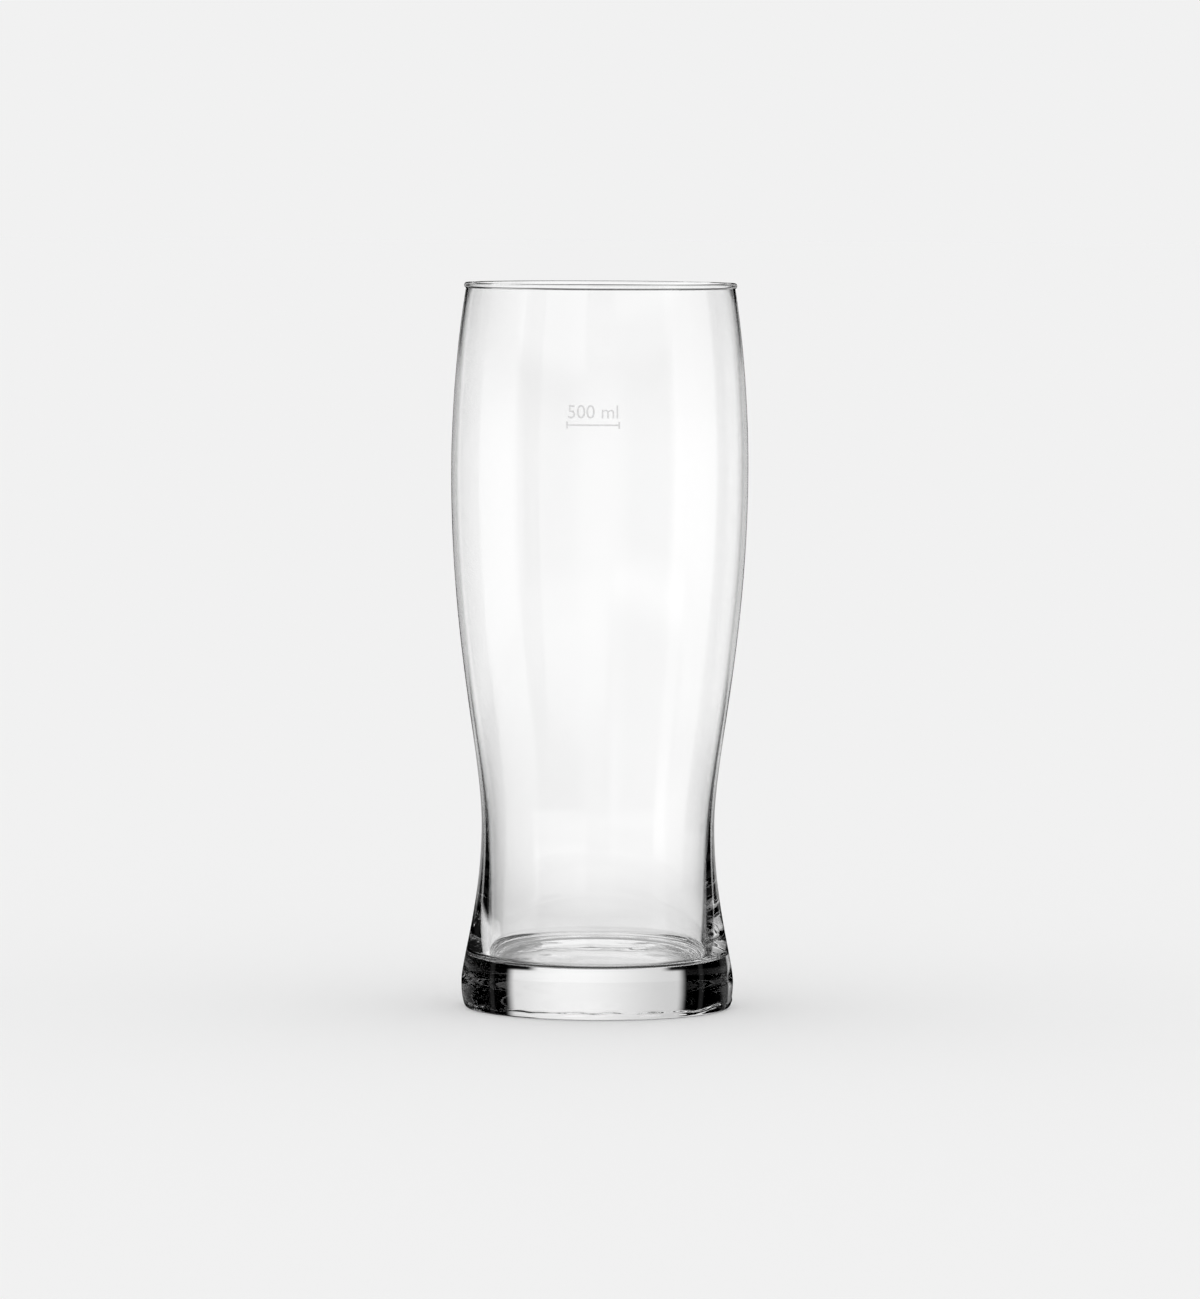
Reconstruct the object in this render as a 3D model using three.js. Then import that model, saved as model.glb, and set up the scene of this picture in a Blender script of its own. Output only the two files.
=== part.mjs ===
// A beer tumbler: one piece of clear blown glass with a heavy foot, a waist, a belly and a beaded lip,
// and the fired-on enamel line that marks its measure. Millimetres, +Z up, standing on the plane z = 0.
import * as THREE from "three";

// Outside, heights above the table
const HEIGHT = 190;
const LIP_RADIUS = 35.7;
const BELLY_RADIUS = 38.9;
const BELLY_HEIGHT = 141.3;
const WAIST_RADIUS = 30.55;
const WAIST_HEIGHT = 47.8;
const FOOT_RADIUS = 35.7;
const FOOT_HEIGHT = 6.5;

// Lip: a fire-polished bead that stands proud of the wall on both sides
const LIP_BEAD_HEIGHT = 1.5;
const LIP_OVERHANG = 0.45;
const LIP_OVERHANG_INSIDE = 0.24;
const LIP_LEAN = 0.16;

// Foot: a side that bulges out to its widest height, a flat ring to stand on and a shallow hollow inside it
const FOOT_CORNER_WIDTH = 1.4;
const BEARING_WIDTH = 3.6;
const PUSH_UP = 2;

// Inside: a solid base, a filleted floor that dips a little in the middle, and a wall that thins upwards
const BASE_THICKNESS = 12.2;
const FLOOR_DISH = 0.4;
const FLOOR_FILLET = 2;
const WALL = 0.63;
const WALL_GAIN_AT_FLOOR = 5.65;
const WALL_GAIN_LENGTH = 26;

// How far each curve runs on straight before it bends, as a share of its own height
const FOOT_EASE_UP = 0.14;
const WAIST_EASE_DOWN = 0.49;
const WAIST_EASE_UP = 0.2;
const BELLY_EASE_DOWN = 0.49;
const BELLY_EASE_UP = 0.2;
const LIP_EASE_DOWN = 0.39;
const ROUND_EASE = 0.552;

// Enamel gauge mark on the front of the wall
const MARK_BELOW_LIP = 36;
const MARK_LENGTH = 13.9;
const MARK_STROKE = 0.45;
const TICK_HEIGHT = 1.8;
const ENAMEL_THICKNESS = 0.15;
const ENAMEL_CLEARANCE = 0.1;

// Facets
const SEGMENTS_AROUND = 64;
const STEPS_SHORT = 4;
const STEPS_CORNER = 7;
const STEPS_FLARE = 9;
const STEPS_BODY = 12;
const STEPS_UPPER = 9;
const STEPS_BEAD = 5;
const STEPS_INSIDE = 20;
const STEPS_MARK = 16;
const INSIDE_CROWDING = 1.5;
const SEARCH_STEPS = 40;
const SLOPE_STEP = 0.5;

const at = (radius, height) => new THREE.Vector2(radius, height);
const curve = (start, control1, control2, end) => new THREE.CubicBezierCurve(start, control1, control2, end);

// The wall grows towards the base, where the glass gathers
function wallAt(height) {
  return WALL + WALL_GAIN_AT_FLOOR * Math.exp(-(height - BASE_THICKNESS) / WALL_GAIN_LENGTH);
}

// The bead's section is an ellipse as wide as the wall and both overhangs
const wallTop = HEIGHT - LIP_BEAD_HEIGHT;
const beadHalfWidth = (wallAt(wallTop) + LIP_OVERHANG + LIP_OVERHANG_INSIDE) / 2;
const beadHalfHeight = LIP_BEAD_HEIGHT / 2;
const beadCentre = at(LIP_RADIUS - beadHalfWidth, HEIGHT - beadHalfHeight);
const outsideCrease = Math.acos(1 - LIP_OVERHANG / beadHalfWidth);
const insideCrease = Math.acos(1 - LIP_OVERHANG_INSIDE / beadHalfWidth);

// Outside curves, each upright where it meets the next, from the foot's widest height up to the lip's bead
function outsideCurves() {
  const wallAtLip = LIP_RADIUS - LIP_OVERHANG;
  const crease = at(wallAtLip, beadCentre.y - beadHalfHeight * Math.sin(outsideCrease));
  const flareRise = WAIST_HEIGHT - FOOT_HEIGHT;
  const bodyRise = BELLY_HEIGHT - WAIST_HEIGHT;
  const upperRise = crease.y - BELLY_HEIGHT;
  const flare = curve(
    at(FOOT_RADIUS, FOOT_HEIGHT),
    at(FOOT_RADIUS, FOOT_HEIGHT + FOOT_EASE_UP * flareRise),
    at(WAIST_RADIUS, WAIST_HEIGHT - WAIST_EASE_DOWN * flareRise),
    at(WAIST_RADIUS, WAIST_HEIGHT),
  );
  const body = curve(
    at(WAIST_RADIUS, WAIST_HEIGHT),
    at(WAIST_RADIUS, WAIST_HEIGHT + WAIST_EASE_UP * bodyRise),
    at(BELLY_RADIUS, BELLY_HEIGHT - BELLY_EASE_DOWN * bodyRise),
    at(BELLY_RADIUS, BELLY_HEIGHT),
  );
  const lipHandle = LIP_EASE_DOWN * upperRise;
  const upper = curve(
    at(BELLY_RADIUS, BELLY_HEIGHT),
    at(BELLY_RADIUS, BELLY_HEIGHT + BELLY_EASE_UP * upperRise),
    at(wallAtLip + LIP_LEAN * lipHandle, crease.y - lipHandle),
    crease,
  );
  return { flare, body, upper };
}

const outside = outsideCurves();

// Radius of the outside at a height above the foot's widest, found by halving along the curve that spans it
function outsideRadiusAt(height) {
  const spans = [outside.flare, outside.body, outside.upper];
  const span = spans.find((one) => height <= one.v3.y) ?? outside.upper;
  let low = 0;
  let high = 1;
  for (let step = 0; step < SEARCH_STEPS; step += 1) {
    const middle = (low + high) / 2;
    if (span.getPoint(middle).y < height) low = middle;
    else high = middle;
  }
  return span.getPoint((low + high) / 2).x;
}

const insideRadiusAt = (height) => outsideRadiusAt(height) - wallAt(height);

// Underside and foot, from the axis outwards and up to the foot's widest height
function footProfile() {
  const ringOutside = FOOT_RADIUS - FOOT_CORNER_WIDTH;
  const ringInside = ringOutside - BEARING_WIDTH;
  const pushUp = curve(
    at(0, PUSH_UP),
    at(ringInside / 2, PUSH_UP),
    at(ringInside * ROUND_EASE, 0),
    at(ringInside, 0),
  );
  const corner = curve(
    at(ringOutside, 0),
    at(ringOutside + ROUND_EASE * FOOT_CORNER_WIDTH, 0),
    at(FOOT_RADIUS, FOOT_HEIGHT * (1 - ROUND_EASE)),
    at(FOOT_RADIUS, FOOT_HEIGHT),
  );
  return [...pushUp.getPoints(STEPS_CORNER), ...corner.getPoints(STEPS_CORNER)];
}

// Round section of the lip: up from the outside crease to the top, then down to the inside crease
function beadProfile() {
  const top = Math.PI / 2;
  const arc = (from, to) =>
    new THREE.EllipseCurve(beadCentre.x, beadCentre.y, beadHalfWidth, beadHalfHeight, from, to);
  const outer = arc(-outsideCrease, top);
  const inner = arc(top, Math.PI + insideCrease);
  return [...outer.getPoints(STEPS_BEAD), ...inner.getPoints(STEPS_BEAD).slice(1)];
}

// Inside wall from just below the bead down to the fillet, closer together near the base
function insideWall(topHeight, bottomHeight) {
  const points = [];
  for (let step = 0; step <= STEPS_INSIDE; step += 1) {
    const share = (1 - step / STEPS_INSIDE) ** INSIDE_CROWDING;
    const height = THREE.MathUtils.lerp(bottomHeight, topHeight, share);
    points.push(at(insideRadiusAt(height), height));
  }
  return points;
}

// Fillet and floor, from the wall down and in to the axis
function floorProfile(filletTop) {
  const wallRadius = insideRadiusAt(filletTop);
  const handle = ROUND_EASE * FLOOR_FILLET;
  const slope = (insideRadiusAt(filletTop + SLOPE_STEP) - wallRadius) / SLOPE_STEP;
  const filletEnd = wallRadius - FLOOR_FILLET;
  const fillet = curve(
    at(wallRadius, filletTop),
    at(wallRadius - slope * handle, filletTop - handle),
    at(filletEnd + handle, BASE_THICKNESS),
    at(filletEnd, BASE_THICKNESS),
  );
  const floor = curve(
    at(filletEnd, BASE_THICKNESS),
    at(filletEnd * ROUND_EASE, BASE_THICKNESS),
    at(filletEnd / 2, BASE_THICKNESS - FLOOR_DISH),
    at(0, BASE_THICKNESS - FLOOR_DISH),
  );
  return [...fillet.getPoints(STEPS_CORNER).slice(1), ...floor.getPoints(STEPS_SHORT).slice(1)];
}

function makeGlass() {
  const filletTop = BASE_THICKNESS + FLOOR_FILLET;
  const profile = [
    ...footProfile(),
    ...outside.flare.getPoints(STEPS_FLARE).slice(1),
    ...outside.body.getPoints(STEPS_BODY).slice(1),
    ...outside.upper.getPoints(STEPS_UPPER).slice(1),
    ...beadProfile().slice(1),
    ...insideWall(wallTop, filletTop),
    ...floorProfile(filletTop),
  ];
  const glass = new THREE.LatheGeometry(profile, SEGMENTS_AROUND);
  glass.rotateX(Math.PI / 2);
  return glass;
}

// Faces of one cell of the print, as corners counted right, up and out: its two skins, and the four edges
// that are closed only where the neighbour on that side is bare
const SKIN_FACES = [
  [[0, 0, 1], [1, 0, 1], [1, 1, 1], [0, 1, 1]],
  [[0, 0, 0], [0, 1, 0], [1, 1, 0], [1, 0, 0]],
];
const EDGE_FACES = [
  { right: 0, up: -1, corners: [[0, 0, 0], [1, 0, 0], [1, 0, 1], [0, 0, 1]] },
  { right: 0, up: 1, corners: [[0, 1, 1], [1, 1, 1], [1, 1, 0], [0, 1, 0]] },
  { right: -1, up: 0, corners: [[0, 0, 0], [0, 0, 1], [0, 1, 1], [0, 1, 0]] },
  { right: 1, up: 0, corners: [[1, 0, 1], [1, 0, 0], [1, 1, 0], [1, 1, 1]] },
];

// A point of the print: along the girth from the front, above the mark's middle, and out from the wall
function onWall(along, above, out) {
  const middleHeight = HEIGHT - MARK_BELOW_LIP;
  const turn = along / outsideRadiusAt(middleHeight);
  const radius = outsideRadiusAt(middleHeight + above) + ENAMEL_CLEARANCE + out;
  return [radius * Math.sin(turn), -radius * Math.cos(turn), middleHeight + above];
}

// The line and its two end ticks, laid on the wall cell by cell: the line's columns hold only the middle row
function makeFillLine() {
  const halfLength = MARK_LENGTH / 2;
  const lineEnd = halfLength - MARK_STROKE;
  const columns = [-halfLength];
  for (let step = 0; step <= STEPS_MARK; step += 1) {
    columns.push(THREE.MathUtils.lerp(-lineEnd, lineEnd, step / STEPS_MARK));
  }
  columns.push(halfLength);
  const rows = [-TICK_HEIGHT / 2, -MARK_STROKE / 2, MARK_STROKE / 2, TICK_HEIGHT / 2];
  const lastColumn = columns.length - 2;
  const lastRow = rows.length - 2;
  const isTick = (column) => column === 0 || column === lastColumn;
  const isInked = (column, row) => {
    const onMark = column >= 0 && column <= lastColumn && row >= 0 && row <= lastRow;
    return onMark && (isTick(column) || row === 1);
  };

  const places = [];
  const addFace = (column, row, corners) => {
    const [a, b, c, d] = corners.map(([right, up, out]) =>
      onWall(columns[column + right], rows[row + up], out * ENAMEL_THICKNESS),
    );
    places.push(...a, ...b, ...c, ...a, ...c, ...d);
  };
  for (let column = 0; column <= lastColumn; column += 1) {
    for (let row = 0; row <= lastRow; row += 1) {
      if (!isInked(column, row)) continue;
      SKIN_FACES.forEach((corners) => addFace(column, row, corners));
      EDGE_FACES.forEach(({ right, up, corners }) => {
        if (!isInked(column + right, row + up)) addFace(column, row, corners);
      });
    }
  }
  const mark = new THREE.BufferGeometry();
  mark.setAttribute("position", new THREE.Float32BufferAttribute(places, 3));
  mark.computeVertexNormals();
  return mark;
}

function named(name, geometry, material) {
  const mesh = new THREE.Mesh(geometry, new THREE.MeshStandardMaterial(material));
  mesh.name = name;
  return mesh;
}

const tumbler = new THREE.Group();
tumbler.add(
  named("glass_body", makeGlass(), {
    color: 0xf4f8f7,
    roughness: 0.02,
    metalness: 0,
    transparent: true,
    opacity: 0.35,
  }),
  named("fill_line", makeFillLine(), { color: 0xd9dbda, roughness: 0.55, metalness: 0 }),
);

export default tumbler;
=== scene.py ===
# Dresses the beer tumbler: a blown-glass body, its fired-on gauge mark and a pale studio round it.
import math

import bmesh
import bpy
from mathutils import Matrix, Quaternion, Vector, noise


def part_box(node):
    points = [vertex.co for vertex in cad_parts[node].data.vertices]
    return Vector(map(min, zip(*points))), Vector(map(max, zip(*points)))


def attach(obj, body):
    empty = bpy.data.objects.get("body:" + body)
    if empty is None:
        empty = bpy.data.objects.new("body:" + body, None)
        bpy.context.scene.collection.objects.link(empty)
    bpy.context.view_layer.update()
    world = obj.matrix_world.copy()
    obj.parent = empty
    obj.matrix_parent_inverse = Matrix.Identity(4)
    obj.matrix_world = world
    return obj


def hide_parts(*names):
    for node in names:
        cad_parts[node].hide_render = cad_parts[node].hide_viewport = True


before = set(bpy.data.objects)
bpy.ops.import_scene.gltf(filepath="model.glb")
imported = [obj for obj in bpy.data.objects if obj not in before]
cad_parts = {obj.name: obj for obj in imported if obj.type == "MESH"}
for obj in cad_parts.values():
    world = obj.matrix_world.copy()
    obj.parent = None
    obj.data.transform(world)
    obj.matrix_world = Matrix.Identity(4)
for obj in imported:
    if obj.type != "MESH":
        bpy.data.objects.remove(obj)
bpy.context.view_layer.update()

MM = 0.001

# Sizes of the glass in millimetres: height and girth come from the frame, the others repeat the solid's
GLASS_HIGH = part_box("glass_body")[1]
HEIGHT = GLASS_HIGH.z / MM
BELLY_RADIUS = GLASS_HIGH.x / MM
LIP_RADIUS = 35.7
BELLY_HEIGHT = 141.3
WAIST_RADIUS = 30.55
WAIST_HEIGHT = 47.8
FOOT_RADIUS = 35.7
FOOT_HEIGHT = 6.5
LIP_BEAD_HEIGHT = 1.5
LIP_OVERHANG = 0.45
LIP_OVERHANG_INSIDE = 0.24
LIP_LEAN = 0.16
FOOT_CORNER_WIDTH = 1.4
BEARING_WIDTH = 3.6
BASE_THICKNESS = 12.2
FLOOR_DISH = 0.4
FLOOR_FILLET = 2
WALL = 0.63

# Sizes of the scene's own: a wall that gains less towards the floor, and a recess under the foot
WALL_GAIN_AT_FLOOR = 5.2
WALL_GAIN_LENGTH = 22
PUSH_UP = 1.5
RECESS_RADIUS = 25.5
RECESS_HEIGHT = 1.2
RECESS_SAG = 0.08

# How far each curve runs on straight before it bends, as a share of its own height or width
FOOT_EASE_UP = 0.14
WAIST_EASE_DOWN = 0.49
WAIST_EASE_UP = 0.2
BELLY_EASE_DOWN = 0.49
BELLY_EASE_UP = 0.2
LIP_EASE_DOWN = 0.39
ROUND_EASE = 0.552
RECESS_EASE_IN = 0.75
RECESS_EDGE_EASE = 0.35

# Gauge mark and lettering, millimetres
MARK_BELOW_LIP = 36
MARK_LENGTH = 13.9
MARK_STROKE = 0.42
TICK_HEIGHT = 1.8
LETTER_TEXT = "500 ml"
LETTER_HEIGHT = 3.4
LETTER_GAP = 1.75
ENAMEL_LIFT = 0.02
ENAMEL_THICKNESS = 0.04
ENAMEL_STEP = 0.4
ENAMEL_WELD = 0.0005

# Steps round the axis and along each stretch of the section
SEGMENTS_AROUND = 240
STEPS_RECESS = 40
STEPS_RECESS_EDGE = 20
STEPS_BEARING = 4
STEPS_FOOT = 64
STEPS_CURVE = 36
STEPS_UPPER = 40
CROWD_UPPER = 2.2
STEPS_BEAD = 14
STEPS_INSIDE = 80
STEPS_FILLET = 20
STEPS_FLOOR = 14
SLOPE_STEP = 0.5
SEARCH_STEPS = 40

# Unevenness of the wall: millimetres, the lengths and seeds of its waves, and their fade above the waist
WALL_RIPPLE = 0.012
WALL_RIPPLE_MEAN = 0.7
WALL_RIPPLE_SPREAD = 0.5
WALL_WAVE = 26
WALL_WAVELET = 11
WAVELET_SHARE = 0.4
OUTSIDE_SEEDS = (0, 5)
INSIDE_SEEDS = (40, 45)
WALL_FADE = 20

# Unevenness of the underside: millimetres, and the length and seed of each wave
UNDERSIDE_RIPPLE = 0.14
UNDERSIDE_WAVE = (6.5, 61)
RECESS_RIPPLE = 0.13
RECESS_WAVE_SHARE = 0.7
RECESS_WAVE = (5, 3)
RECESS_WAVELET = (2.4, 9)

# Wandering ridge along the foot's lower edge, in the same units, strongest towards one heading
RIDGE = 0.32
RIDGE_HEIGHT = 1.35
RIDGE_WANDER = 0.9
RIDGE_REACH = 0.5
RIDGE_WAVE = (9, 23)
RIDGE_WAVELET = (3.5, 27)
RIDGE_PATCH = (7, 31)
RIDGE_PATCH_MEAN = 0.6
RIDGE_PATCH_SPREAD = 1.1
RIDGE_HEADING = -60
RIDGE_TURN_MEAN = 0.5
RIDGE_TURN_SPREAD = 1.2

# Materials: the glass's refraction, and each speckle's scale, detail, low value and high value
GLASS_IOR = 1.52
GLASS_TONE = (30, 2, 0.995, 1.0)
ENAMEL_TONE = (2500, 3, 0.64, 0.78)
ENAMEL_ROUGHNESS = (900, 2, 0.42, 0.6)
NOISE_LOW = 0.3
NOISE_HIGH = 0.7

# Camera, worked out from the photograph's ellipses: metres and degrees
CAMERA_DISTANCE = 2.0253
CAMERA_HEIGHT = 0.2214
CAMERA_AIM_HEIGHT = 0.0939
CAMERA_AIM_ASIDE = 0.0003
CAMERA_HEADING = 2.66
CAMERA_ROLL = 0.29
CAMERA_LENS = 214.5
SENSOR = 36

# Brightness of the backdrop, and of all that lights a matte surface
BACKGROUND = 0.88
PLAIN_LIGHT = 1.0

# A sector is a heading from +X, half a width and a soft side, all in degrees.
# A fade is two places or tilts and the level at each.

# Sectors that are bright behind the clear glass, and how their levels fall off by tilt and to the sides
BEHIND = (92.2, 28.8, 2.5)
BEHIND_LOW = (93.6, 20.9, 2.5)
BEHIND_TO_LOW = (-8.6, -7.4, 1, 0)
BEHIND_TO_TOP = (9, 15, 1, 0.15)
BEHIND_AT_HORIZON = (-2.3, -1.2, 1, 0.93)
BEHIND_TO_LEFT = (-0.46, 0.05, 0.7, 1.0)
BEHIND_TO_RIGHT = (0.1, 0.46, 1.0, 0.78)
BRIGHT_BY_TILT = (-16, -8, 0.88, 1.08)
LEFT = (187, 23, 3)
LEFT_BY_TILT = (1, 7, 0.9, 0.4)
FRONT_RIGHT = (315, 31, 3)
FRONT_RIGHT_BELOW = (-12, -8.5, 1, 0)
FRONT_RIGHT_ABOVE = (11, 16, 0, 1)
BACK_LEFT = (135, 31, 3)
BACK_LEFT_BELOW = (-19, -16.5, 0.95, 0)
BACK_LEFT_ABOVE = (15, 19, 0, 0.95)
FRONT_BELOW = (273, 75, 6)
FRONT_BELOW_FROM = (-22, -15, 0, 0.6)
FRONT_BELOW_TO = (-13, -9, 1, 0)
OVERHEAD = (52, 62, 0, 1)
UNDERNEATH = (-62, -50, 0.8, 0)

# Sectors that show dimly through the glass, each with its level
DIM_SECTORS = (
    ((270, 18, 8), 0.25),
    ((5, 22, 5), 0.01),
    ((159, 7, 3), 0.03),
    ((52.8, 1.2, 0.8), 0.015),
    ((131.8, 1.2, 0.8), 0.015),
)

# What reflections show: a level all round and sectors laid over it in turn, above and below a tilt
MIRROR_LEVEL = 1.85
MIRROR_SECTORS = (((2, 28, 8), 1.0), ((265.8, 63.2, 2.5), 1.1), ((90, 36, 9), 0.0))
LOW_MIRROR_LEVEL = 1.2
LOW_MIRROR_SECTORS = (((135, 33, 7), 0.0), ((315, 33, 7), 0.0))
MIRROR_TO_LOW = (-15, -11, 1, 0)

# Floor, metres: half its width, its drop below the foot, and the painted glow under the glass by radius:
# painted light in the middle, painted contact shadow by the foot's ring
FLOOR_HALF = 20
FLOOR_DROP = 0.0001
FLOOR_PAINTED_LIGHT_AND_SHADOW = (0.016, 0.025, 0.75, 0.04)

# Flag round the glass, metres: low all round, tall in two sectors, faint by the lip, pale in two spots
FLAG_RADIUS = 0.1
FLAG_TOP = 0.21
FLAG_LOW_EDGE = (0.035, 0.07, 1, 0)
FLAG_LIP_SECTORS = ((165, 30, 14), (20, 30, 14))
FLAG_LIP_EDGE = (0.166, 0.2, 0, 0.45)
FLAG_DARK = (134, 8, 2)
FLAG_GREY = (226, 7, 2)
FLAG_GREY_GLOW = (0.05, 0.08, 0, 0.45)
FLAG_PALE_SECTORS = ((121, 13, 4), (64.3, 13, 4))
FLAG_PALE_EDGE = (0.058, 0.074, 1, 0)
FLAG_PALE_GLOW = (0.018, 0.028, 0, 0.55)

# Cards behind the lip, metres: beside the wall, and nearer in at the height of the lip itself
CARD_DISTANCE = 0.3
CARD_REACH = 0.25
CARD_BOTTOM = 0.143
CARD_TOP = 0.36
CARD_INNER_EDGE = (0.09, 0.11, 0, 1)
CARD_OUTER_EDGE = (0.2, 0.23, 1, 0)
CARD_LOWER_EDGE = (0.163, 0.18, 0, 0.85)
CARD_UPPER_EDGE = (0.33, 0.34, 1, 0)
CARD_LIP_INNER_EDGE = (0.06, 0.074, 0, 1)
CARD_LIP_LOWER_EDGE = (0.184, 0.189, 0, 1)

# Veil close round the foot, metres: thin gauze behind the glass and a black wing at each side
VEIL_RADIUS = 0.0375
VEIL_TOP = 0.0125
VEIL_BEHIND = (92.7, 68, 9)
VEIL_WEAVE = (0.002, 0.008, 0.06, 0.1)
VEIL_UPPER_EDGE = (0.0105, VEIL_TOP, 1, 0)
WING_SECTORS = ((346, 14, 3), (204, 11, 3))
WING_UPPER_EDGE = (0.007, 0.0095, 1, 0)

# Steps round a ring, a distance that stands in for none, and how often light may bounce
STEPS_RING = 128
LEAST_REACH = 0.0001
MOST_BOUNCES = 24
GLOSSY_BOUNCES = 12

# Sizes worked out from those above
RING_OUTSIDE = FOOT_RADIUS - FOOT_CORNER_WIDTH
RING_INSIDE = RING_OUTSIDE - BEARING_WIDTH
WALL_TOP = HEIGHT - LIP_BEAD_HEIGHT
MARK_HEIGHT = HEIGHT - MARK_BELOW_LIP

scene = bpy.context.scene
scene.view_settings.view_transform = "Standard"


# Section of the glass

def curve_point(corners, t):
    """The place on a cubic curve where t runs from 0 at its start to 1 at its end."""
    u = 1 - t
    weights = (u * u * u, 3 * u * u * t, 3 * u * t * t, t * t * t)
    return tuple(sum(w * p[i] for w, p in zip(weights, corners)) for i in (0, 1))


def curve(start, control1, control2, end, steps, crowd=1):
    """Points of a cubic curve, its start left out; a crowd above 1 draws them towards the end."""
    corners = (start, control1, control2, end)
    return [curve_point(corners, 1 - (1 - step / steps) ** crowd) for step in range(1, steps + 1)]


def line(start, end, steps):
    """Points of a straight stretch, its start left out."""
    return [
        tuple(a + (b - a) * step / steps for a, b in zip(start, end)) for step in range(1, steps + 1)
    ]


def wall_at(height):
    return WALL + WALL_GAIN_AT_FLOOR * math.exp(-(height - BASE_THICKNESS) / WALL_GAIN_LENGTH)


BEAD_HALF_WIDTH = (wall_at(WALL_TOP) + LIP_OVERHANG + LIP_OVERHANG_INSIDE) / 2
BEAD_HALF_HEIGHT = LIP_BEAD_HEIGHT / 2
BEAD_CENTRE = (LIP_RADIUS - BEAD_HALF_WIDTH, HEIGHT - BEAD_HALF_HEIGHT)
OUTSIDE_CREASE = math.acos(1 - LIP_OVERHANG / BEAD_HALF_WIDTH)
INSIDE_CREASE = math.acos(1 - LIP_OVERHANG_INSIDE / BEAD_HALF_WIDTH)


def outside_controls():
    """Control points of the outside's three curves: flare, body and upper wall."""
    wall_at_lip = LIP_RADIUS - LIP_OVERHANG
    crease = (wall_at_lip, BEAD_CENTRE[1] - BEAD_HALF_HEIGHT * math.sin(OUTSIDE_CREASE))
    flare_rise = WAIST_HEIGHT - FOOT_HEIGHT
    body_rise = BELLY_HEIGHT - WAIST_HEIGHT
    upper_rise = crease[1] - BELLY_HEIGHT
    lip_handle = LIP_EASE_DOWN * upper_rise
    flare = (
        (FOOT_RADIUS, FOOT_HEIGHT),
        (FOOT_RADIUS, FOOT_HEIGHT + FOOT_EASE_UP * flare_rise),
        (WAIST_RADIUS, WAIST_HEIGHT - WAIST_EASE_DOWN * flare_rise),
        (WAIST_RADIUS, WAIST_HEIGHT),
    )
    body = (
        (WAIST_RADIUS, WAIST_HEIGHT),
        (WAIST_RADIUS, WAIST_HEIGHT + WAIST_EASE_UP * body_rise),
        (BELLY_RADIUS, BELLY_HEIGHT - BELLY_EASE_DOWN * body_rise),
        (BELLY_RADIUS, BELLY_HEIGHT),
    )
    upper = (
        (BELLY_RADIUS, BELLY_HEIGHT),
        (BELLY_RADIUS, BELLY_HEIGHT + BELLY_EASE_UP * upper_rise),
        (wall_at_lip + LIP_LEAN * lip_handle, crease[1] - lip_handle),
        crease,
    )
    return flare, body, upper


FLARE, BODY, UPPER = outside_controls()


def outside_radius_at(height):
    """Radius of the outside at a height above the foot's widest place, found by halving."""
    corners = UPPER
    for one in (FLARE, BODY):
        if height <= one[3][1]:
            corners = one
            break
    low, high = 0.0, 1.0
    for _ in range(SEARCH_STEPS):
        middle = (low + high) / 2
        radius, reached = curve_point(corners, middle)
        if reached < height:
            low = middle
        else:
            high = middle
    return radius


def inside_radius_at(height):
    return outside_radius_at(height) - wall_at(height)


def bead(start_angle, end_angle):
    """Points of a stretch of the lip's bead, its start left out."""
    points = []
    for step in range(1, STEPS_BEAD + 1):
        angle = start_angle + (end_angle - start_angle) * step / STEPS_BEAD
        points.append((
            BEAD_CENTRE[0] + BEAD_HALF_WIDTH * math.cos(angle),
            BEAD_CENTRE[1] + BEAD_HALF_HEIGHT * math.sin(angle),
        ))
    return points


def foot_section():
    """From the axis under the foot, over the recess and the bearing ring, to the foot's widest place."""
    points = [(0, PUSH_UP)]
    points += curve(
        (0, PUSH_UP),
        (RECESS_RADIUS / 2, PUSH_UP),
        (RECESS_RADIUS * RECESS_EASE_IN, RECESS_HEIGHT + RECESS_SAG),
        (RECESS_RADIUS, RECESS_HEIGHT),
        STEPS_RECESS,
    )
    handle = RECESS_EDGE_EASE * (RING_INSIDE - RECESS_RADIUS)
    points += curve(
        (RECESS_RADIUS, RECESS_HEIGHT),
        (RECESS_RADIUS + handle, RECESS_HEIGHT - RECESS_SAG),
        (RING_INSIDE - handle, 0),
        (RING_INSIDE, 0),
        STEPS_RECESS_EDGE,
    )
    points += line((RING_INSIDE, 0), (RING_OUTSIDE, 0), STEPS_BEARING)
    points += curve(
        (RING_OUTSIDE, 0),
        (RING_OUTSIDE + ROUND_EASE * FOOT_CORNER_WIDTH, 0),
        (FOOT_RADIUS, FOOT_HEIGHT * (1 - ROUND_EASE)),
        (FOOT_RADIUS, FOOT_HEIGHT),
        STEPS_FOOT,
    )
    return points


def inside_section():
    """From the lip down the inside of the wall, round the fillet and over the floor to the axis."""
    points = []
    fillet_top = BASE_THICKNESS + FLOOR_FILLET
    for step in range(STEPS_INSIDE + 1):
        share = 1 - step / STEPS_INSIDE
        height = fillet_top + (WALL_TOP - fillet_top) * share * share * (3 - 2 * share)
        points.append((inside_radius_at(height), height))
    wall_radius = inside_radius_at(fillet_top)
    slope = (inside_radius_at(fillet_top + SLOPE_STEP) - wall_radius) / SLOPE_STEP
    handle = ROUND_EASE * FLOOR_FILLET
    fillet_end = wall_radius - FLOOR_FILLET
    points += curve(
        (wall_radius, fillet_top),
        (wall_radius - slope * handle, fillet_top - handle),
        (fillet_end + handle, BASE_THICKNESS),
        (fillet_end, BASE_THICKNESS),
        STEPS_FILLET,
    )
    points += curve(
        (fillet_end, BASE_THICKNESS),
        (fillet_end * ROUND_EASE, BASE_THICKNESS),
        (fillet_end / 2, BASE_THICKNESS - FLOOR_DISH),
        (0, BASE_THICKNESS - FLOOR_DISH),
        STEPS_FLOOR,
    )
    return points


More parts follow.
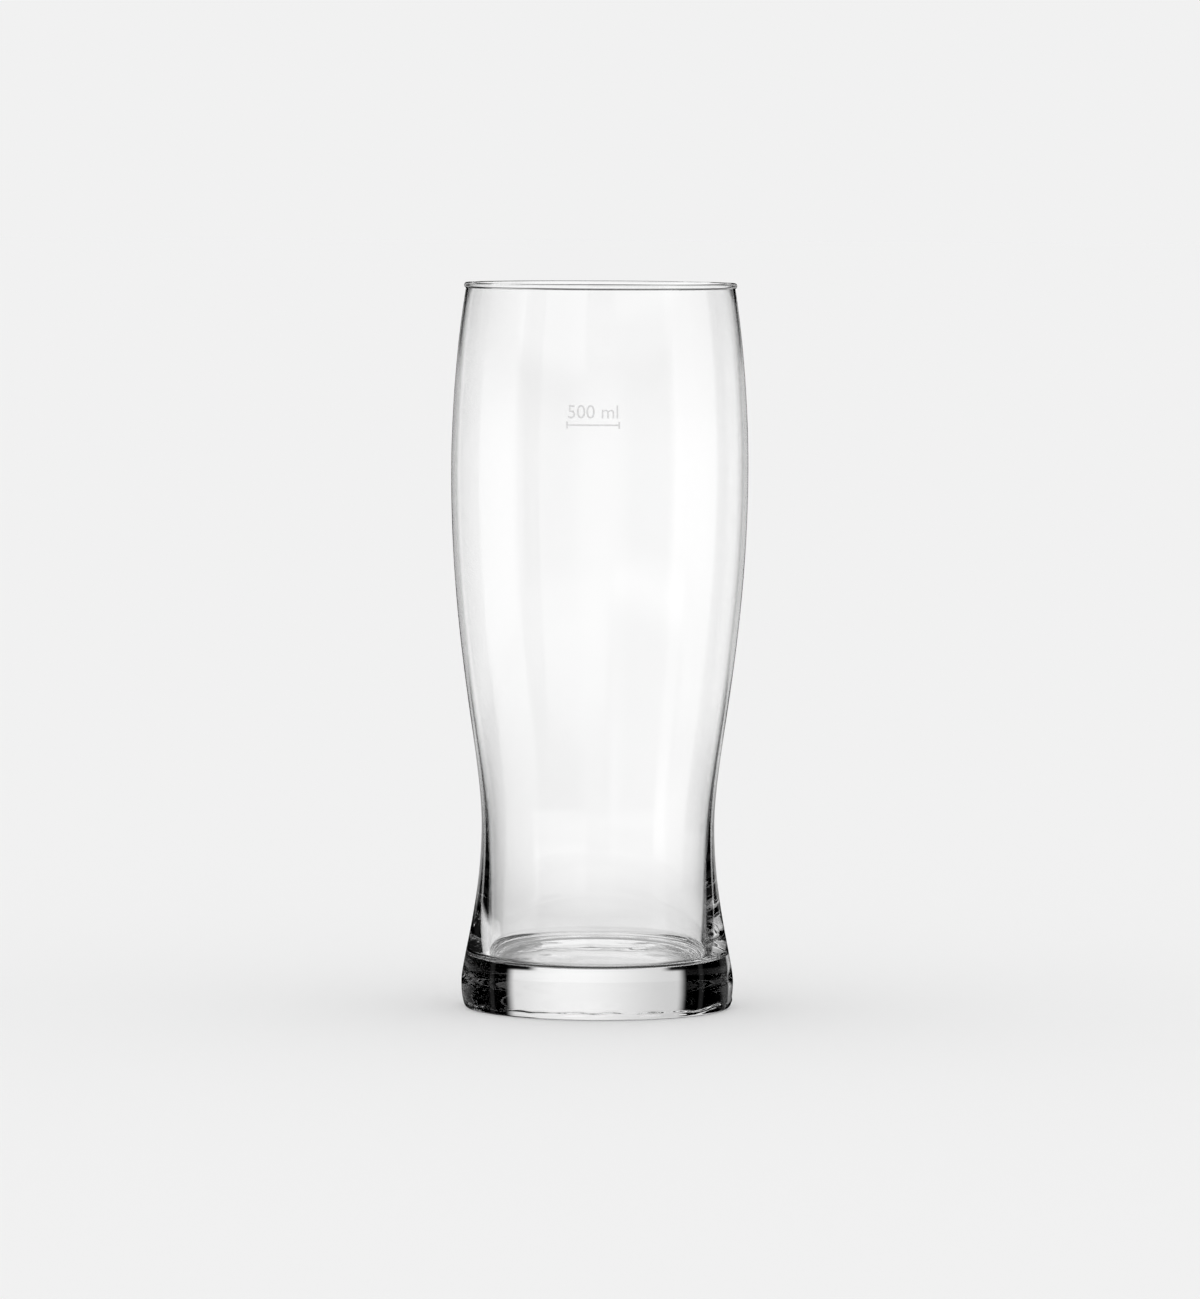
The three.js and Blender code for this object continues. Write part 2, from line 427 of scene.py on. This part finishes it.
def glass_section():
    """Radius and height along the section, from the axis under the foot to the axis on the floor."""
    points = foot_section()
    points += curve(*FLARE, STEPS_CURVE)
    points += curve(*BODY, STEPS_CURVE)
    points += curve(*UPPER, STEPS_UPPER, CROWD_UPPER)
    points += bead(-OUTSIDE_CREASE, math.pi / 2)
    points += bead(math.pi / 2, math.pi + INSIDE_CREASE)
    return points + inside_section()


# Unevenness of the glass

def held(value):
    """A value held between 0 and 1."""
    return min(1.0, max(0.0, value))


def ripple(x, y, z, scale, seed):
    """Smooth unevenness between -1 and 1 at a place given in millimetres."""
    return noise.noise(Vector((x / scale, y / scale, z / scale + seed)))


def turned(radius, height, turn):
    return radius * math.cos(turn), radius * math.sin(turn), height


def on_foot_edge(radius, height, turn):
    """A point of the foot's rounded side, moved out where the ridge runs."""
    x, y, _ = turned(FOOT_RADIUS, height, turn)
    wander = ripple(x, y, 0, *RIDGE_WAVE) + WAVELET_SHARE * ripple(x, y, 0, *RIDGE_WAVELET)
    centre = RIDGE_HEIGHT + RIDGE_WANDER * wander
    strength = held(RIDGE_PATCH_MEAN + RIDGE_PATCH_SPREAD * ripple(x, y, 0, *RIDGE_PATCH))
    away = turn - math.radians(RIDGE_HEADING)
    strength *= held(RIDGE_TURN_MEAN + RIDGE_TURN_SPREAD * math.cos(away))
    rise = RIDGE * strength * math.exp(-(((height - centre) / RIDGE_REACH) ** 2))
    return turned(radius + rise, height, turn)


def on_underside(radius, height, turn):
    """A point of the recess or its edge, moved up or down."""
    x, y, _ = turned(radius, height, turn)
    at_edge = max(0.0, 1 - abs(radius - RECESS_RADIUS) / (RING_INSIDE - RECESS_RADIUS))
    wave = RECESS_WAVE_SHARE * ripple(x, y, 0, *RECESS_WAVE)
    wave += WAVELET_SHARE * ripple(x, y, 0, *RECESS_WAVELET)
    still = ripple(x, y, 0, *UNDERSIDE_WAVE)
    return x, y, max(0.0, height + RECESS_RIPPLE * at_edge * wave + UNDERSIDE_RIPPLE * still)


def on_body(radius, height, turn, seeds):
    """A point of the wall, drawn in a little above the waist."""
    x, y, _ = turned(radius, height, turn)
    wave = ripple(x, y, height, WALL_WAVE, seeds[0])
    wave += WAVELET_SHARE * ripple(x, y, height, WALL_WAVELET, seeds[1])
    middle = held((height - WAIST_HEIGHT) / WALL_FADE)
    drawn_in = WALL_RIPPLE * middle * (WALL_RIPPLE_MEAN + WALL_RIPPLE_SPREAD * wave)
    return turned(radius - drawn_in, height, turn)


def uneven(radius, height, turn, on_outside):
    """One point of the section at its heading, with the blown glass's unevenness, in millimetres."""
    if not on_outside:
        return on_body(radius, height, turn, INSIDE_SEEDS)
    if height >= FOOT_HEIGHT:
        return on_body(radius, height, turn, OUTSIDE_SEEDS)
    if radius > RING_OUTSIDE:
        return on_foot_edge(radius, height, turn)
    if radius > RING_INSIDE:
        return turned(radius, height, turn)
    return on_underside(radius, height, turn)


# Pieces

def put(name, data):
    piece = bpy.data.objects.new(name, data)
    scene.collection.objects.link(piece)
    return piece


def filled(name, verts, faces):
    mesh = bpy.data.meshes.new(name)
    mesh.from_pydata(verts, [], faces)
    return mesh


def tumbler_glass():
    """The section turned round the axis into one closed smooth mesh."""
    section = glass_section()
    heights = [height for radius, height in section]
    top_index = heights.index(max(heights))
    verts = [(0, 0, section[0][1] * MM)]
    ring_count = len(section) - 2
    for index, (radius, height) in enumerate(section[1:-1], start=1):
        for segment in range(SEGMENTS_AROUND):
            turn = 2 * math.pi * segment / SEGMENTS_AROUND
            place = uneven(radius, height, turn, index <= top_index)
            verts.append(tuple(value * MM for value in place))
    verts.append((0, 0, section[-1][1] * MM))
    last = len(verts) - 1

    def first_of(ring):
        return 1 + ring * SEGMENTS_AROUND

    faces = []
    for segment in range(SEGMENTS_AROUND):
        after = (segment + 1) % SEGMENTS_AROUND
        faces.append((0, first_of(0) + after, first_of(0) + segment))
        for ring in range(ring_count - 1):
            here, above = first_of(ring), first_of(ring + 1)
            faces.append((here + segment, here + after, above + after, above + segment))
        top = first_of(ring_count - 1)
        faces.append((last, top + segment, top + after))
    mesh = filled("tumbler_glass", verts, faces)
    mesh.shade_smooth()
    return put("tumbler_glass", mesh)


def on_wall(along, height, depth):
    """A place in metres on the front of the outside, by distance round the girth, height and depth."""
    turn = along / outside_radius_at(MARK_HEIGHT)
    radius = outside_radius_at(height) + ENAMEL_LIFT + depth
    return radius * math.sin(turn) * MM, -radius * math.cos(turn) * MM, height * MM


def lay_on_wall(name, flat):
    """Bends a flat bmesh, drawn in millimetres about the mark's middle, into a thin coat on the wall."""
    bmesh.ops.remove_doubles(flat, verts=flat.verts[:], dist=ENAMEL_WELD)
    bmesh.ops.triangulate(flat, faces=flat.faces[:])
    reach = max(abs(vert.co.x) for vert in flat.verts)
    cut = -reach + ENAMEL_STEP
    while cut < reach:
        everything = flat.verts[:] + flat.edges[:] + flat.faces[:]
        bmesh.ops.bisect_plane(flat, geom=everything, plane_co=(cut, 0, 0), plane_no=(1, 0, 0))
        cut += ENAMEL_STEP
    raised = bmesh.ops.extrude_face_region(flat, geom=flat.faces[:])
    for item in raised["geom"]:
        if isinstance(item, bmesh.types.BMVert):
            item.co.z = ENAMEL_THICKNESS
    bmesh.ops.recalc_face_normals(flat, faces=flat.faces[:])
    for vert in flat.verts:
        vert.co = on_wall(vert.co.x, MARK_HEIGHT + vert.co.y, vert.co.z)
    mesh = bpy.data.meshes.new(name)
    flat.to_mesh(mesh)
    flat.free()
    return put(name, mesh)


def gauge_line():
    """A line with an upright tick at each end, as one outline."""
    half = MARK_LENGTH / 2
    inner = half - MARK_STROKE
    stroke = MARK_STROKE / 2
    tick = TICK_HEIGHT / 2
    lower = [
        (-half, -tick), (-inner, -tick), (-inner, -stroke),
        (inner, -stroke), (inner, -tick), (half, -tick),
    ]
    upper = [(x, -y) for x, y in reversed(lower)]
    flat = bmesh.new()
    flat.faces.new([flat.verts.new((x, y, 0)) for x, y in lower + upper])
    return lay_on_wall("gauge_line", flat)


def gauge_lettering():
    """The measure in the plain typeface that comes with Blender."""
    text = bpy.data.curves.new("gauge_lettering", "FONT")
    text.body = LETTER_TEXT
    text.align_x = "CENTER"
    drawn = put("gauge_drawing", text)
    bpy.context.view_layer.update()
    evaluated = drawn.evaluated_get(bpy.context.evaluated_depsgraph_get())
    flat = bmesh.new()
    flat.from_mesh(evaluated.to_mesh())
    evaluated.to_mesh_clear()
    bpy.data.objects.remove(drawn)
    size = LETTER_HEIGHT / max(vert.co.y for vert in flat.verts)
    for vert in flat.verts:
        vert.co = (vert.co.x * size, vert.co.y * size + LETTER_GAP, 0)
    return lay_on_wall("gauge_lettering", flat)


# Shader nodes

def node(tree, kind, **values):
    made = tree.nodes.new(kind)
    for key, value in values.items():
        setattr(made, key, value)
    return made


def feed(tree, socket, value):
    """Sets a socket to a number, or links another node's output to it."""
    if isinstance(value, (int, float)):
        socket.default_value = value
    else:
        tree.links.new(value, socket)


def maths(tree, operation, first, second=0.0):
    made = node(tree, "ShaderNodeMath", operation=operation)
    feed(tree, made.inputs[0], first)
    feed(tree, made.inputs[1], second)
    return made.outputs[0]


def most(tree, *values):
    """The largest of several values."""
    total = values[0]
    for value in values[1:]:
        total = maths(tree, "MAXIMUM", total, value)
    return total


def times(tree, *values):
    """Several values multiplied."""
    total = values[0]
    for value in values[1:]:
        total = maths(tree, "MULTIPLY", total, value)
    return total


def fade(tree, value, low, high, to_low, to_high):
    """A smooth change from one level to another between two values."""
    made = node(tree, "ShaderNodeMapRange", interpolation_type="SMOOTHSTEP")
    tree.links.new(value, made.inputs["Value"])
    numbers = {"From Min": low, "From Max": high, "To Min": to_low, "To Max": to_high}
    for name, number in numbers.items():
        made.inputs[name].default_value = number
    return made.outputs["Result"]


def blend(tree, share, first, second):
    """first where share is 0, second where it is 1."""
    made = node(tree, "ShaderNodeMix", data_type="FLOAT")
    for socket, value in zip((made.inputs[0], made.inputs[2], made.inputs[3]), (share, first, second)):
        feed(tree, socket, value)
    return made.outputs[0]


def mixed(tree, share, first, second):
    """One shader where share is 0, another where it is 1."""
    made = node(tree, "ShaderNodeMixShader")
    for socket, value in zip(made.inputs, (share, first, second)):
        tree.links.new(value, socket)
    return made.outputs[0]


def glowing(tree, strength):
    made = node(tree, "ShaderNodeEmission")
    made.inputs["Color"].default_value = (1, 1, 1, 1)
    feed(tree, made.inputs["Strength"], strength)
    return made.outputs[0]


def matte(tree, level):
    made = node(tree, "ShaderNodeBsdfDiffuse")
    made.inputs["Color"].default_value = (level, level, level, 1)
    return made.outputs[0]


def see_through(tree):
    return node(tree, "ShaderNodeBsdfTransparent").outputs[0]


def coordinates(tree, kind):
    """The three parts of a texture coordinate."""
    parts = node(tree, "ShaderNodeSeparateXYZ")
    tree.links.new(node(tree, "ShaderNodeTexCoord").outputs[kind], parts.inputs[0])
    return parts.outputs


def facing(tree, x, y, reach, heading):
    """Cosine of the turn between a place and a heading in degrees; reach is the place's distance."""
    turn = math.radians(heading)
    along = maths(tree, "ADD", times(tree, x, math.cos(turn)), times(tree, y, math.sin(turn)))
    return maths(tree, "DIVIDE", along, reach)


def sector(tree, x, y, reach, heading, half, soft):
    """1 inside a sector, 0 outside it."""
    outer = math.cos(math.radians(half + soft))
    inner = math.cos(math.radians(max(0, half - soft)))
    return fade(tree, facing(tree, x, y, reach, heading), outer, inner, 0, 1)


def any_sector(tree, x, y, reach, places):
    """1 inside any of several sectors, 0 outside them all."""
    return most(tree, *(sector(tree, x, y, reach, *place) for place in places))


# Materials

def principled(name):
    material = bpy.data.materials.new(name)
    material.use_nodes = True
    tree = material.node_tree
    return material, tree, tree.nodes["Principled BSDF"]


def emptied(name):
    """A material with no nodes but its output, with its tree and the output's surface socket."""
    material = bpy.data.materials.new(name)
    material.use_nodes = True
    tree = material.node_tree
    tree.nodes.clear()
    return material, tree, node(tree, "ShaderNodeOutputMaterial").inputs[0]


def speckle(tree, scale, detail, low, high):
    """Noise over the object's own coordinates, spread between two values."""
    place = node(tree, "ShaderNodeTexCoord")
    texture = node(tree, "ShaderNodeTexNoise")
    texture.inputs["Scale"].default_value = scale
    texture.inputs["Detail"].default_value = detail
    tree.links.new(place.outputs["Object"], texture.inputs["Vector"])
    return fade(tree, texture.outputs["Fac"], NOISE_LOW, NOISE_HIGH, low, high)


def tint_grey(tree, shader, tone):
    tint = node(tree, "ShaderNodeCombineColor")
    for channel in ("Red", "Green", "Blue"):
        tree.links.new(tone, tint.inputs[channel])
    tree.links.new(tint.outputs["Color"], shader.inputs["Base Color"])


def clear_glass():
    material, tree, shader = principled("clear_glass")
    shader.inputs["IOR"].default_value = GLASS_IOR
    shader.inputs["Roughness"].default_value = 0.0
    shader.inputs["Transmission Weight"].default_value = 1.0
    tint_grey(tree, shader, speckle(tree, *GLASS_TONE))
    return material


def fired_enamel():
    material, tree, shader = principled("fired_enamel")
    tint_grey(tree, shader, speckle(tree, *ENAMEL_TONE))
    tree.links.new(speckle(tree, *ENAMEL_ROUGHNESS), shader.inputs["Roughness"])
    return material


def dress(piece, material, node_name=None):
    piece.data.materials.clear()
    piece.data.materials.append(material)
    if node_name:
        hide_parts(node_name)
    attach(piece, "root")


# Camera

def add_camera():
    data = bpy.data.cameras.new("camera")
    data.lens = CAMERA_LENS
    data.sensor_width = SENSOR
    camera = put("camera", data)
    heading = math.radians(CAMERA_HEADING)
    camera.location = (
        CAMERA_DISTANCE * math.sin(heading), -CAMERA_DISTANCE * math.cos(heading), CAMERA_HEIGHT
    )
    aim = Vector((CAMERA_AIM_ASIDE, 0, CAMERA_AIM_HEIGHT))
    look = (aim - camera.location).to_track_quat("-Z", "Y")
    camera.rotation_mode = "QUATERNION"
    camera.rotation_quaternion = look @ Quaternion((0, 0, 1), math.radians(CAMERA_ROLL))
    scene.camera = camera


# Studio

def add_world():
    """Plain light on matte surfaces, with bright and dark sectors in what glass mirrors or shows."""
    world = bpy.data.worlds.new("studio")
    scene.world = world
    world.use_nodes = True
    tree = world.node_tree
    tree.nodes.clear()
    output = node(tree, "ShaderNodeOutputWorld")
    background = node(tree, "ShaderNodeBackground")
    background.inputs["Color"].default_value = (1, 1, 1, 1)
    tree.links.new(background.outputs[0], output.inputs[0])
    path = node(tree, "ShaderNodeLightPath")
    x, y, z = coordinates(tree, "Generated")
    reach = maths(tree, "SQRT", maths(tree, "ADD", times(tree, x, x), times(tree, y, y)))
    reach = most(tree, reach, LEAST_REACH)
    to_right = facing(tree, x, y, reach, 0)

    def window(place):
        return sector(tree, x, y, reach, *place)

    def tilted(low, high, to_low, to_high):
        low, high = (math.sin(math.radians(tilt)) for tilt in (low, high))
        return fade(tree, z, low, high, to_low, to_high)

    def laid_over(level, sectors):
        for place, value in sectors:
            level = blend(tree, window(place), level, value)
        return level

    bright = tilted(*BRIGHT_BY_TILT)
    behind = blend(tree, tilted(*BEHIND_TO_LOW), window(BEHIND), window(BEHIND_LOW))
    aside = times(tree, fade(tree, to_right, *BEHIND_TO_LEFT), fade(tree, to_right, *BEHIND_TO_RIGHT))
    front_right = most(tree, tilted(*FRONT_RIGHT_BELOW), tilted(*FRONT_RIGHT_ABOVE))
    back_left = most(tree, tilted(*BACK_LEFT_BELOW), tilted(*BACK_LEFT_ABOVE))
    seen_through = most(
        tree,
        times(tree, behind, bright, aside, tilted(*BEHIND_TO_TOP), tilted(*BEHIND_AT_HORIZON)),
        times(tree, window(LEFT), bright, tilted(*LEFT_BY_TILT)),
        times(tree, window(FRONT_RIGHT), front_right),
        times(tree, window(BACK_LEFT), back_left),
        times(tree, window(FRONT_BELOW), tilted(*FRONT_BELOW_FROM), tilted(*FRONT_BELOW_TO)),
        tilted(*OVERHEAD),
        tilted(*UNDERNEATH),
        *(times(tree, window(place), value) for place, value in DIM_SECTORS),
    )
    mirrored = blend(
        tree,
        tilted(*MIRROR_TO_LOW),
        laid_over(MIRROR_LEVEL, MIRROR_SECTORS),
        laid_over(LOW_MIRROR_LEVEL, LOW_MIRROR_SECTORS),
    )
    after_floor = maths(tree, "GREATER_THAN", path.outputs["Diffuse Depth"], 0.5)
    level = blend(tree, path.outputs["Is Glossy Ray"], PLAIN_LIGHT, mirrored)
    level = blend(tree, path.outputs["Is Transmission Ray"], level, seen_through)
    level = blend(tree, after_floor, level, PLAIN_LIGHT)
    level = blend(tree, path.outputs["Is Camera Ray"], level, BACKGROUND)
    tree.links.new(level, background.inputs["Strength"])


def add_floor():
    """A pale floor with painted shade: black inside the flag where glass mirrors it, and a painted glow
    under the foot, light in the middle and shadow by the ring.
    """
    half = FLOOR_HALF
    corners = [(-half, -half, 0), (half, -half, 0), (half, half, 0), (-half, half, 0)]
    floor = put("floor", filled("floor", corners, [(0, 1, 2, 3)]))
    floor.location.z = -FLOOR_DROP
    material, tree, surface = emptied("pale_floor_with_painted_shade")
    path = node(tree, "ShaderNodeLightPath")
    place = node(tree, "ShaderNodeNewGeometry")
    length = node(tree, "ShaderNodeVectorMath", operation="LENGTH")
    tree.links.new(place.outputs["Position"], length.inputs[0])
    reach = length.outputs["Value"]
    clear = see_through(tree)
    beyond_flag = maths(tree, "GREATER_THAN", reach, FLAG_RADIUS)
    beyond_foot = maths(tree, "GREATER_THAN", reach, RING_OUTSIDE * MM)
    # Painted shade: inside the flag, reflections see the floor black in place of the shade near the
    # glass
    mirrored = mixed(tree, beyond_flag, matte(tree, 0), clear)
    # Painted light and shadow: seen through the glass, the floor under the foot glows bright in the
    # middle and dark by the ring
    seen_through = mixed(tree, beyond_foot, glowing(tree, fade(tree, reach, *FLOOR_PAINTED_LIGHT_AND_SHADOW)), clear)
    shown = mixed(tree, path.outputs["Is Glossy Ray"], matte(tree, BACKGROUND), mirrored)
    shown = mixed(tree, path.outputs["Is Transmission Ray"], shown, seen_through)
    tree.links.new(shown, surface)
    floor.data.materials.append(material)


def stand(mesh, shader_for):
    """A studio card; shader_for says from its coordinates how solid it is and how much it glows."""
    card = put(mesh.name, mesh)
    material, tree, surface = emptied(mesh.name)
    solid, strength = shader_for(tree, *coordinates(tree, "Object"))
    tree.links.new(mixed(tree, solid, see_through(tree), glowing(tree, strength)), surface)
    mesh.materials.append(material)
    card.visible_camera = False
    card.visible_diffuse = False
    card.visible_shadow = False
    return card


def ring_mesh(name, radius, top):
    """An upright band round the axis, standing on the floor."""
    verts = []
    faces = []
    for index in range(STEPS_RING):
        x, y, _ = turned(radius, top, 2 * math.pi * index / STEPS_RING)
        verts += [(x, y, 0), (x, y, top)]
        after = (index + 1) % STEPS_RING
        faces.append((2 * index, 2 * after, 2 * after + 1, 2 * index + 1))
    return filled(name, verts, faces)


def add_flag():
    """A dark ring round the glass that only reflections show."""

    def shader_for(tree, x, y, z):
        dark = sector(tree, x, y, FLAG_RADIUS, *FLAG_DARK)
        grey = sector(tree, x, y, FLAG_RADIUS, *FLAG_GREY)
        at_lip = any_sector(tree, x, y, FLAG_RADIUS, FLAG_LIP_SECTORS)
        at_lip = times(tree, at_lip, fade(tree, z, *FLAG_LIP_EDGE))
        pale = any_sector(tree, x, y, FLAG_RADIUS, FLAG_PALE_SECTORS)
        pale = times(tree, pale, fade(tree, z, *FLAG_PALE_EDGE))
        solid = most(tree, fade(tree, z, *FLAG_LOW_EDGE), at_lip, dark, grey, pale)
        pale_glow = times(tree, pale, fade(tree, z, *FLAG_PALE_GLOW))
        grey_glow = times(tree, grey, fade(tree, z, *FLAG_GREY_GLOW))
        return solid, maths(tree, "ADD", pale_glow, grey_glow)

    flag = stand(ring_mesh("flag", FLAG_RADIUS, FLAG_TOP), shader_for)
    flag.visible_transmission = False


def add_rim_cards():
    """Two dark cards behind the lip, left and right, that only the view through the glass shows."""

    def shader_for(tree, x, y, z):
        away = maths(tree, "ABSOLUTE", x)
        upper_edge = fade(tree, z, *CARD_UPPER_EDGE)
        across = times(tree, fade(tree, away, *CARD_INNER_EDGE), fade(tree, away, *CARD_OUTER_EDGE))
        beside_wall = times(tree, across, fade(tree, z, *CARD_LOWER_EDGE), upper_edge)
        lip_edge = times(tree, fade(tree, z, *CARD_LIP_LOWER_EDGE), upper_edge)
        beside_lip = times(tree, fade(tree, away, *CARD_LIP_INNER_EDGE), lip_edge)
        return most(tree, beside_wall, beside_lip), 0.0

    corners = [
        (-CARD_REACH, CARD_DISTANCE, CARD_BOTTOM),
        (CARD_REACH, CARD_DISTANCE, CARD_BOTTOM),
        (CARD_REACH, CARD_DISTANCE, CARD_TOP),
        (-CARD_REACH, CARD_DISTANCE, CARD_TOP),
    ]
    cards = stand(filled("rim_cards", corners, [(0, 1, 2, 3)]), shader_for)
    cards.rotation_euler.z = math.radians(CAMERA_HEADING)
    cards.visible_glossy = False


def add_veil():
    """A ring close round the foot that only the view through the glass shows."""

    def shader_for(tree, x, y, z):
        weave = times(tree, fade(tree, z, *VEIL_WEAVE), fade(tree, z, *VEIL_UPPER_EDGE))
        gauze = times(tree, weave, sector(tree, x, y, VEIL_RADIUS, *VEIL_BEHIND))
        wings = any_sector(tree, x, y, VEIL_RADIUS, WING_SECTORS)
        wings = times(tree, wings, fade(tree, z, *WING_UPPER_EDGE))
        return most(tree, gauze, wings), 0.0

    veil = stand(ring_mesh("veil", VEIL_RADIUS, VEIL_TOP), shader_for)
    veil.visible_glossy = False


enamel = fired_enamel()
dress(tumbler_glass(), clear_glass(), "glass_body")
dress(gauge_line(), enamel, "fill_line")
dress(gauge_lettering(), enamel)

add_camera()
add_world()
add_floor()
add_flag()
add_rim_cards()
add_veil()
scene.cycles.max_bounces = MOST_BOUNCES
scene.cycles.transmission_bounces = MOST_BOUNCES
scene.cycles.glossy_bounces = GLOSSY_BOUNCES
